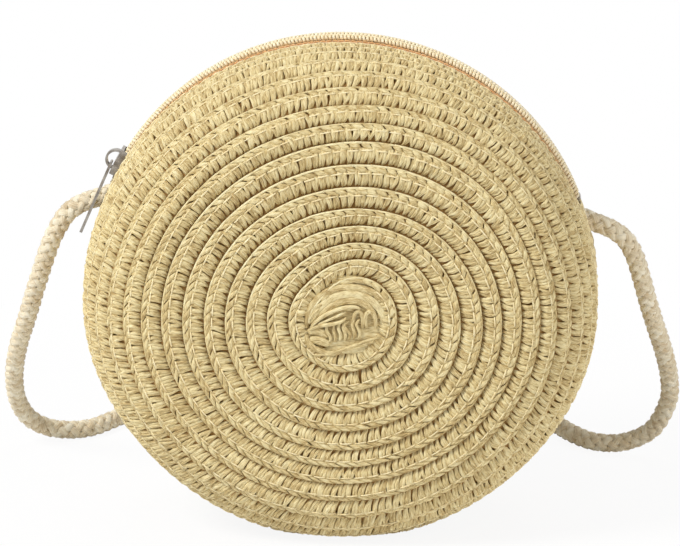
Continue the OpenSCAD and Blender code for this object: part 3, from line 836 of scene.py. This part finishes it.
START_BED_SIZE = (1.6, 0.5, -1.25)
START_BED_TOP = 13
START_BED_STEP = 2.5
START_BED_MIDDLE = 4.6
START_BED_BOW = 0.6
START_BED_R = 14
START_BED_LEAST = 30
START_ARCH = 0.35
START_TAPER = 0.45


def braid_start(name, back):
    unit = unit_strand(8, 11)
    x, y, z = (part[0] for part in shape_of(unit))
    straws = list(START_STRAPS)
    for number in range(START_RIBS):
        left = START_RIB_STEP[0] * number + START_RIB_FIRST[0] + random.normal(0, START_RIB_SCATTER[0])
        top = START_RIB_STEP[1] * number + START_RIB_FIRST[1]
        path = np.array(START_RIB_PATH) + (left, top)
        path[1, 0] += random.normal(0, START_RIB_SCATTER[1])
        straws.append((*START_RIB_SIZE, path))
    for number in range(START_BED):
        level = START_BED_TOP - START_BED_STEP * number
        width = math.sqrt(max(START_BED_R ** 2 - (level + 1) ** 2, START_BED_LEAST))
        straws.append((*START_BED_SIZE, [(START_BED_MIDDLE - width, level),
                                         (START_BED_MIDDLE, level + START_BED_BOW),
                                         (START_BED_MIDDLE + width, level)]))
    points, fibre = [], []
    for half_w, half_h, rise, path in straws:
        path = np.array(path, float)
        fitted = polynomial.polyfit(np.linspace(0, 1, len(path)), path, min(len(path) - 1, 3))
        line = polynomial.polyval(y, fitted)
        heading = polynomial.polyval(y, polynomial.polyder(fitted))
        heading /= np.hypot(*heading)
        taper = 1 - START_TAPER * (1 - np.sin(math.pi * y) ** 0.5)
        right = line[0] - heading[1] * x * half_w * taper
        up = line[1] + heading[0] * x * half_w * taper
        out = rise + START_ARCH * np.sin(math.pi * y) + z * half_h * taper
        points.append(on_half(np.hypot(right, up), np.arctan2(up, right), out, back))
        length = np.sum(np.hypot(*np.diff(path, axis=0).T))
        fibre.append((x * half_w, z * half_h, y * length))
    return laid(name, unit, np.array(points), np.swapaxes(fibre, 0, 1))


# Backing: behind the straws that show, the rows lie over one another two and three deep. That inner
# straw is a plain wall here, coloured dark with painted shade, as straw looks in the gaps between the ribs.
BACKING_OUT = -1.2
BACKING_STEPS = 160
RIM_BACKING_STEPS = 100
FACE_LENGTHS = (0.2, *np.linspace(8, face_len, 5))
SHOULDER_LENGTHS = np.linspace(face_len, mouth_len, 14)[1:]


def spun(name, outline, first, last, steps):
    """A closed outline of radii and heights spun round the bag's middle, in degrees from +X."""
    bm = bmesh.new()
    whole = last - first >= 360
    verts = [bm.verts.new((r, 0, h)) for r, h in outline]
    edges = [bm.edges.new((a, b)) for a, b in zip(verts, verts[1:] + verts[:1])]
    if not whole:
        bm.faces.new(verts)
    bmesh.ops.rotate(bm, cent=(0, 0, 0), matrix=Matrix.Rotation(math.radians(first), 3, "Z"), verts=verts)
    bmesh.ops.spin(bm, geom=verts + edges + list(bm.faces), cent=(0, 0, 0), axis=(0, 0, 1),
                   angle=math.radians(last - first), steps=steps, use_merge=whole)
    bmesh.ops.remove_doubles(bm, verts=bm.verts, dist=1e-4)
    bmesh.ops.recalc_face_normals(bm, faces=bm.faces)
    mesh = bpy.data.meshes.new(name)
    bm.to_mesh(mesh)
    return mesh


def stood_up(mesh, back):
    """Turns a mesh spun round Z, front upwards, into the bag's place, and presses its foot flat."""
    x, y, z = places_of(mesh).T
    side = -1 if back else 1
    mesh.vertices.foreach_set("co", (settled(side * x, -side * z, y) * MM).ravel())
    return mesh


def shell_outline(lengths, outer, inner):
    """A closed outline of a wall between two distances out from the braid's own surface."""
    above = [section_at(np.array(l), outer) for l in lengths]
    below = [section_at(np.array(l), inner) for l in reversed(lengths)]
    return [(float(r), float(h)) for r, h in above + below]


# Both halves are made alike, of one pale straw and one thread, and the back one is turned to face the
# other way. The backing is the same straw, but its colour is painted shade for the rows over it.
straw = fibre_material("paper_straw", dark=(0.32, 0.19, 0.055), mid=(0.74, 0.59, 0.28),
                       light=(1, 0.92, 0.6), streaks=6.0, length=0.6, bump=0.4, roughness=0.6)
# Painted shade: the backing's straw is coloured dark to stand for the shade in the gaps between the ribs.
painted_shade_straw = fibre_material("straw_painted_shade", dark=(0.24, 0.13, 0.035), mid=(0.4, 0.23, 0.07),
                             light=(0.52, 0.33, 0.12), streaks=3.0, length=0.5, bump=0.2, roughness=0.9)
stitch_thread = fibre_material("stitch_thread", dark=(0.78, 0.6, 0.3), mid=(0.95, 0.82, 0.5),
                               light=(0.98, 0.9, 0.64), streaks=6.0, length=0.4, bump=0.1, roughness=0.85)
for side in ("front", "back"):
    is_back = side == "back"
    for part, maker, turns, material in (
            ("face_ribs", ribs, (FIRST_TURN, MIDDLE_TURN), straw),
            ("rim_ribs", ribs, (MIDDLE_TURN, LAST_TURN), straw),
            ("braid_edges", leaves, (FIRST_EDGE_TURN, LAST_TURN), straw),
            ("braid_start", braid_start, (), straw),
            ("braid_lips", lips, (FIRST_EDGE_TURN, LAST_TURN), straw),
            ("row_stitches", stitches, (FIRST_TURN, LAST_TURN), stitch_thread)):
        name = f"{side}_{part}"
        dressed(name, maker(name, *turns, is_back), material, "straw", side + "_shell")
    mouth_end = mouth_middle(is_back) + MOUTH_SPAN / 2
    mouth_start = mouth_middle(is_back) + 360 - MOUTH_SPAN / 2
    for part, lengths, first, last, steps in (
            ("backing", (*FACE_LENGTHS, *SHOULDER_LENGTHS), 0, 360, BACKING_STEPS),
            ("rim_backing", (mouth_len, seam_len), mouth_end, mouth_start, RIM_BACKING_STEPS)):
        name = f"{side}_{part}"
        outline = shell_outline(lengths, BACKING_OUT, -STRAW_T)
        mesh = stood_up(spun(name, outline, first, last, steps), is_back)
        fibre_layers(mesh, places_of(mesh) / MM, np.zeros(len(mesh.vertices)))
        dressed(name, mesh, painted_shade_straw, "straw", side + "_shell")

# Seam: the last rows of the two halves are sewn edge to edge round the bottom with thick thread, in
# slanting stitches over both rows and a doubled cord between them.
SEAM_CLEAR = 0.9
SEAM_FROM = MOUTH_MIDDLE + MOUTH_SPAN / 2 + SEAM_CLEAR
SEAM_TO = MOUTH_MIDDLE + 360 - MOUTH_SPAN / 2 - SEAM_CLEAR
SEAM_PITCH = 3.3
SEAM_WIDTH = 4.2
SEAM_SLANT = 1.5
SEAM_THREAD_R = 0.5
SEAM_ENDS_OUT = -1.6
SEAM_ARCH = 1.9
SEAM_FLATNESS = 0.6
SEAM_SCATTER = 0.15
SEAM_CORD_R = 0.45
SEAM_CORD_LAY = 3.2
SEAM_CORD_OUT = -0.9
SEAM_CORD_STEP = 0.35
SEAM_CORD_SHADE = 0.5


def on_rim(angle, y, out):
    """Points round the rim: an angle in radians, a place across the rim and a distance out."""
    radius = BAG_R + out
    return settled(radius * np.cos(angle), y + 0 * radius, radius * np.sin(angle))


def seam_stitches(name):
    unit = unit_strand(6, 5)
    x, y, z = shape_of(unit)
    first, last = math.radians(SEAM_FROM), math.radians(SEAM_TO)
    at = np.linspace(first, last, int((last - first) * BAG_R / SEAM_PITCH))[:, None]
    count = len(at)
    along = SEAM_SLANT * (y - 0.5) + scatter(count, SEAM_SCATTER) + x * SEAM_THREAD_R
    out = SEAM_ENDS_OUT + SEAM_ARCH * np.sin(math.pi * y) ** SEAM_FLATNESS + z * SEAM_THREAD_R
    points = on_rim(at + along / BAG_R, SEAM_WIDTH * (y - 0.5) + 0 * along, out)
    return laid(name, unit, points, (x * SEAM_THREAD_R, z * SEAM_THREAD_R, y * SEAM_WIDTH))


def seam_cord(name, phase):
    """One of the two threads that twist round each other along the seam."""
    angle = np.radians(np.arange(SEAM_FROM, SEAM_TO, SEAM_CORD_STEP))
    twist = angle * BAG_R * 2 * math.pi / SEAM_CORD_LAY + phase
    round_thread = np.linspace(0, 2 * math.pi, STRAND_SIDES, endpoint=False)
    y = SEAM_CORD_R * (np.cos(twist)[:, None] + np.cos(round_thread))
    out = SEAM_CORD_OUT + SEAM_CORD_R * (np.sin(twist)[:, None] + np.sin(round_thread))
    ring = on_rim(angle[:, None] + 0 * y, y, out)
    mesh = bpy.data.meshes.new(name)
    mesh.from_pydata((ring * MM).reshape(-1, 3), [], tube_faces(len(angle), STRAND_SIDES, 0))
    fibre = np.stack([y, out, angle[:, None] * BAG_R + 0 * y], -1)
    fibre_layers(mesh, fibre.reshape(-1, 3), np.full(y.size, SEAM_CORD_SHADE))
    return faced_outwards(mesh)


dressed("seam_stitches", seam_stitches("seam_stitches"), stitch_thread, "seam_thread", "rim_seam")
for number, phase in enumerate((0, math.pi)):
    name = f"seam_cord_{number + 1}"
    dressed(name, seam_cord(name, phase), stitch_thread, "seam_thread", "rim_seam")

# Lining: a bowl of plain woven cotton in each half, sewn from flat pieces and slipped inside the straw.
# Its edge is turned in, and sewn to the zip tape along the mouth and to the seam round the bottom.
LINING_OUT = -3.15
LINING_T = 0.65
LINING_MOUTH_W = 15.9
LINING_EDGE_GAP = 1
LINING_STEPS = 120
WEAVE_PITCH = 0.9
WEAVE_SHARE = 0.55
SLUB_SCALE = 1.6
WEAVE_SHADES = (0.35, 1.15)


def woven_group():
    """Node group: a plain weave, threads over and under one another, from the place on the mesh."""
    group, inputs, outputs = look_group("plain_weave", Dark=(0.5, 0.4, 0.2, 1), Light=(0.9, 0.8, 0.6, 1),
                                        Pitch=0.9)
    given = inputs.outputs
    fibre = node(group, "Attribute", attribute_name="fibre").outputs["Vector"]
    scale = maths(group, "DIVIDE", 2 * math.pi, given["Pitch"])
    place = node(group, "VectorMath", {0: fibre, "Scale": scale}, operation="SCALE")
    parts = node(group, "SeparateXYZ", {0: place.outputs[0]}).outputs
    weave = maths(group, "MULTIPLY", maths(group, "SINE", parts["X"]), maths(group, "SINE", parts["Z"]))
    weave = maths(group, "MULTIPLY_ADD", weave, 0.5, 0.5)
    shade = maths(group, "MULTIPLY_ADD", weave, WEAVE_SHARE, noise(group, fibre, SLUB_SCALE, 3))
    colour = mixed(group, ranged(group, shade, WEAVE_SHADES), given["Dark"], given["Light"])
    feed(group, outputs, {"Color": colour, "Height": weave})
    return group


plain_weave = woven_group()


def cloth_material(name, dark, light, pitch, bump, roughness):
    """A woven cloth, with its tree, shader and look, so that a coloured line can be added to it."""
    values = {"Dark": (*dark, 1), "Light": (*light, 1), "Pitch": pitch}
    return look_material(name, plain_weave, values, strength=0.5, depth=bump, roughness=roughness,
                         sheen=0.2)


cotton_cloth = cloth_material("lining_cotton", dark=(0.66, 0.58, 0.44), light=(0.85, 0.79, 0.66),
                              pitch=WEAVE_PITCH, bump=0.1, roughness=0.9)[0]
lining_end = section_len - LINING_MOUTH_W
LINING_LENGTHS = [0.3, *np.linspace(9, face_len, 5), *np.linspace(face_len, lining_end, 9)[1:]]
for side in ("front", "back"):
    is_back = side == "back"
    middle = mouth_middle(is_back)
    for part, lengths, first, last in (
            ("lining_bowl", LINING_LENGTHS, 0, 360),
            ("lining_edge", (lining_end, section_len - LINING_EDGE_GAP), middle + MOUTH_SPAN / 2,
             middle + 360 - MOUTH_SPAN / 2)):
        name = f"{side}_{part}"
        outline = shell_outline(lengths, LINING_OUT, LINING_OUT - LINING_T)
        mesh = spun(name, outline, first, last, LINING_STEPS)
        fibre = places_of(mesh)[:, [0, 2, 1]]
        mesh = stood_up(mesh, is_back)
        fibre_layers(mesh, fibre, np.zeros(len(fibre)))
        dressed(name, mesh, cotton_cloth, "lining_cloth", side + "_lining")

# Zip: a nylon coil zip over the top of the rim. Its two woven tapes, peach with a thin orange-brown band
# near the straw's edge, are sewn under the straw and rise over its edge, held by a line of tan thread. The
# coil is one bent wire for each side, sewn down along the tape's inner edge.
TAPE_PATH = [(-3.4, 15.5), (-3.4, 12), (-3.4, 7.9), (-2.6, 7.0), (-1.5, 6.2), (-1.0, 4.8), (-0.9, 3.6),
             (-0.9, 0.45)]
TAPE_T = 0.56
TAPE_END_GAP = 0.4
TAPE_STEP = 0.5
TAPE_STEPS = 150
TAPE_WEAVE = 0.62
TAPE_LINE_AT = (6.3, 6.9)
TAPE_LINE_COLOUR = (0.8, 0.46, 0.2, 1)
TAPE_STITCH_PITCH = 2.1
TAPE_STITCH_LEN = 0.88
TAPE_STITCH_R = 0.3
TAPE_STITCH_AT = (-0.5, 4.5)
TAPE_STITCH_ARCH = 0.15
COIL_PITCH = 1.3
COIL_WIRE_R = 0.46
COIL_SLANT = 0.9
COIL_WIRE_SPREAD = 1.25
COIL_TURN = (-0.14, 1.28)
COIL_MID_OUT = 0.24
COIL_HALF_H = 0.76
COIL_MID_Y = 1.75
COIL_HALF_Y = 1.1
COIL_STITCH_LEN = 0.9
COIL_STITCH_R = 0.16
COIL_STITCH_AT = (1.12, 2.35)
COIL_STITCH_ARCH = 0.1
COIL_STITCH_SLANT = 0.12
ZIP_STREAK_LEN = 3
STOP_GAP = 0.25
BOTTOM_STOP = 1.4
TOP_STOP = 0.9
STOP_TO_COIL = 0.4
zip_from = MOUTH_MIDDLE - MOUTH_SPAN / 2 + math.degrees(TAPE_END_GAP / BAG_R)
zip_to = MOUTH_MIDDLE + MOUTH_SPAN / 2 - math.degrees(TAPE_END_GAP / BAG_R)
coil_from = zip_from + math.degrees((STOP_GAP + BOTTOM_STOP + STOP_TO_COIL) / BAG_R)
coil_to = zip_to - math.degrees((STOP_GAP + TOP_STOP + STOP_TO_COIL) / BAG_R)


def tape_mesh(name, is_back):
    """A tape as its own outline, from under the straw to the coil, spun along the zip's arc."""
    line = smooth_route([(BAG_R + out, across, 0) for out, across in TAPE_PATH], TAPE_STEP)[:, :2]
    heading = np.gradient(line, axis=0)
    heading /= np.linalg.norm(heading, axis=1)[:, None]
    square = np.column_stack([-heading[:, 1], heading[:, 0]]) * TAPE_T / 2
    outline = [tuple(p) for p in np.vstack([line + square, (line - square)[::-1]])]
    first, last = (180 - zip_to, 180 - zip_from) if is_back else (zip_from, zip_to)
    mesh = spun(name, outline, first, last, TAPE_STEPS)
    x, y, z = places_of(mesh).T
    side = -1 if is_back else 1
    turned = np.column_stack([side * x, -side * z, CENTRE_H + y])
    mesh.vertices.foreach_set("co", (turned * MM).ravel())
    fibre_layers(mesh, np.column_stack([z, np.hypot(x, y), np.arctan2(y, x) * BAG_R]), np.zeros(len(x)))
    return mesh


def zip_turns(name, is_back, pitch, shape):
    """Many small strands round the zip's arc. The shape gives each one's place along, out and across."""
    unit = unit_strand(6, 7)
    x, y, z = shape_of(unit)
    start, end = math.radians(coil_from), math.radians(coil_to)
    at = np.arange(start, end, pitch / BAG_R)[:, None] + (pitch / BAG_R / 2 if is_back else 0)
    along, out, across = shape(x, y, z)
    angle = at + along / BAG_R
    radius = BAG_R + out
    place = (radius * np.cos(angle), across if is_back else -across, CENTRE_H + radius * np.sin(angle))
    return laid(name, unit, np.stack(np.broadcast_arrays(*place), -1), (x, z, ZIP_STREAK_LEN * y))


def coil_loop(x, y, z):
    """One turn of the coil: up its outer side, over the top on a slant and down its inner side."""
    swing = math.pi * (COIL_TURN[0] + COIL_TURN[1] * y)
    return (COIL_SLANT * (y - 0.5) + x * COIL_WIRE_R * COIL_WIRE_SPREAD,
            COIL_MID_OUT + (COIL_HALF_H + COIL_WIRE_R * z) * np.sin(swing),
            COIL_MID_Y + (COIL_HALF_Y + COIL_WIRE_R * z) * np.cos(swing))


def coil_stitch(x, y, z):
    """One stitch of the thread that holds the coil to its tape."""
    return (COIL_PITCH * COIL_STITCH_LEN * (y - 0.5),
            COIL_STITCH_AT[0] + COIL_STITCH_ARCH * np.sin(math.pi * y) + COIL_STITCH_R * z,
            COIL_STITCH_AT[1] + COIL_STITCH_R * x + COIL_STITCH_SLANT * (y - 0.5))


def tape_stitch(x, y, z):
    """One stitch of the tan thread along the tape."""
    return (TAPE_STITCH_PITCH * TAPE_STITCH_LEN * (y - 0.5),
            TAPE_STITCH_AT[0] + TAPE_STITCH_ARCH * np.sin(math.pi * y) + TAPE_STITCH_R * z,
            TAPE_STITCH_AT[1] + TAPE_STITCH_R * x)


tape_cloth, tree, shader, look = cloth_material("zip_tape_cloth", dark=(0.74, 0.5, 0.27),
                                                light=(0.93, 0.73, 0.47), pitch=TAPE_WEAVE, bump=0.08,
                                                roughness=0.75)
place = node(tree, "Attribute", attribute_name="fibre")
parts = node(tree, "SeparateXYZ", {0: place.outputs["Vector"]})
edge = ranged(tree, parts.outputs["X"], TAPE_LINE_AT)
feed(tree, shader, {"Base Color": mixed(tree, edge, look.outputs["Color"], TAPE_LINE_COLOUR)})
coil_nylon = fibre_material("coil_nylon", dark=(0.8, 0.63, 0.37), mid=(0.94, 0.82, 0.56),
                            light=(0.99, 0.93, 0.74), streaks=2.0, length=0.6, bump=0.05, roughness=0.45)
tan_thread = fibre_material("tan_thread", dark=(0.55, 0.28, 0.1), mid=(0.78, 0.43, 0.18),
                            light=(0.9, 0.6, 0.33), streaks=3.0, length=0.5, bump=0.05, roughness=0.7)
for side in ("front", "back"):
    is_back = side == "back"
    name = side + "_zip_tape"
    dressed(name, tape_mesh(name, is_back), tape_cloth, "zip_tape", "zip_tape_" + side)
    for part, pitch, shape, material, slot, stands_for in (
            ("coil_turns", COIL_PITCH, coil_loop, coil_nylon, "zip_coil", "zip_coil_"),
            ("coil_stitches", COIL_PITCH, coil_stitch, stitch_thread, "zip_tape", "zip_coil_"),
            ("tape_stitches", TAPE_STITCH_PITCH, tape_stitch, tan_thread, "zip_tape", "zip_tape_")):
        name = f"{side}_{part}"
        dressed(name, zip_turns(name, is_back, pitch, shape), material, slot, stands_for + side)

# Zip hardware: nickel-plated slider, bridge, puller and stops, stamped and bent from sheet, then
# tumbled, so that the plate is bright with a fine haze of scratches and a little tarnish.
BRIGHT_PLATE = (0.42, 0.39, 0.35, 1)
TARNISHED_PLATE = (0.22, 0.19, 0.16, 1)
SCRATCH_SCALE = (900, 300, 5200)
SCRATCH_RANGE = (0.35, 0.7)
SCRATCH_DEPTH = 0.02
TARNISH_SCALE = 420
TARNISH_RANGE = (0.4, 0.68)
PLATE_ROUGHNESS = (0.2, 0.42)
nickel, tree, shader = new_material("nickel_plate")
place = node(tree, "TexCoord").outputs["Object"]
drawn_out = node(tree, "Mapping", {"Vector": place, "Scale": SCRATCH_SCALE})
scratches = noise(tree, drawn_out.outputs[0], 1, 3)
tarnish = ranged(tree, noise(tree, place, TARNISH_SCALE, 4), TARNISH_RANGE)
relief = node(tree, "Bump", {"Height": scratches, "Strength": 0.25, "Distance": SCRATCH_DEPTH * MM})
feed(tree, shader, {"Base Color": mixed(tree, tarnish, BRIGHT_PLATE, TARNISHED_PLATE),
                    "Roughness": ranged(tree, scratches, SCRATCH_RANGE, PLATE_ROUGHNESS),
                    "Normal": relief.outputs[0], "Metallic": 1})
for name in ("slider", "slider_bridge", "puller_tab", "zip_top_stops", "zip_bottom_stop"):
    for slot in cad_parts[name].material_slots:
        slot.material = nickel
